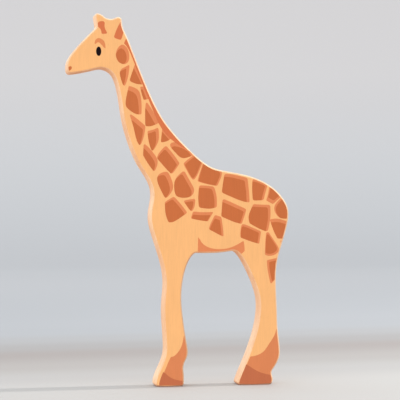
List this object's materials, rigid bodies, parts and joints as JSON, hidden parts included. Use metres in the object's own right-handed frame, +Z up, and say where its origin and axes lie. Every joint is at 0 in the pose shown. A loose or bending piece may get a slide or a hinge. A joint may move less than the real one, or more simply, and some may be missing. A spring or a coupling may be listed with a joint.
{
  "type": "flat wooden toy giraffe",
  "caption": "Free-standing flat wooden giraffe, a board sawn to the animal's outline with rounded edges and printed spots, mane, hooves and face.",
  "frame": {"origin": "on the floor plane under the soles, at the middle of the board's length and of its thickness", "axes": "+Z up from the soles to the horn, -X towards the muzzle and +X towards the rump, -Y out of the printed near face and +Y out of the far face"},
  "size_m": [0.0993, 0.0124, 0.1663],
  "materials": {
    "wood": "clear satin lacquer over pale fine-grained hardwood",
    "ground_coat": "printed apricot ink coat, satin",
    "light_ink": "printed light-brown ink, satin",
    "spot_ink": "printed dark-brown ink over light-brown ink, satin",
    "mane_ink": "printed red-brown ink, satin",
    "brow_ink": "printed light-brown ink, satin",
    "hoof_ink": "printed hoof-brown ink, satin",
    "eye_ink": "printed black ink, slightly glossy"
  },
  "bodies": {
    "root": {"board": "wood", "near_ground_coat": "ground_coat", "far_ground_coat": "ground_coat", "mane_stripe": "mane_ink", "neck_spot_1": "spot_ink", "neck_spot_2": "spot_ink", "neck_spot_3": "spot_ink", "neck_spot_4": "spot_ink", "neck_spot_5": "spot_ink", "neck_spot_6": "spot_ink", "neck_spot_7": "spot_ink", "neck_spot_8": "spot_ink", "neck_spot_9": "spot_ink", "neck_spot_10": "spot_ink", "neck_spot_11": "spot_ink", "neck_spot_12": "spot_ink", "body_spot_1": "spot_ink", "body_spot_2": "spot_ink", "body_spot_3": "spot_ink", "body_spot_4": "spot_ink", "body_spot_5": "spot_ink", "body_spot_6": "spot_ink", "body_spot_7": "spot_ink", "body_spot_8": "spot_ink", "body_spot_9": "spot_ink", "body_spot_10": "spot_ink", "body_spot_11": "spot_ink", "body_spot_12": "spot_ink", "body_spot_13": "spot_ink", "body_spot_14": "spot_ink", "body_spot_15": "spot_ink", "body_spot_16": "spot_ink", "body_spot_17": "spot_ink", "body_spot_18": "spot_ink", "body_spot_19": "spot_ink", "horn_mark": "mane_ink", "ear_mark": "mane_ink", "eyebrow": "brow_ink", "eye": "eye_ink", "nostril": "spot_ink", "belly_shade": "light_ink", "front_leg_shade": "light_ink", "front_hoof": "hoof_ink", "rear_leg_shade": "light_ink", "rear_hoof": "hoof_ink", "rump_fleck": "light_ink"}
  },
  "joints": []
}
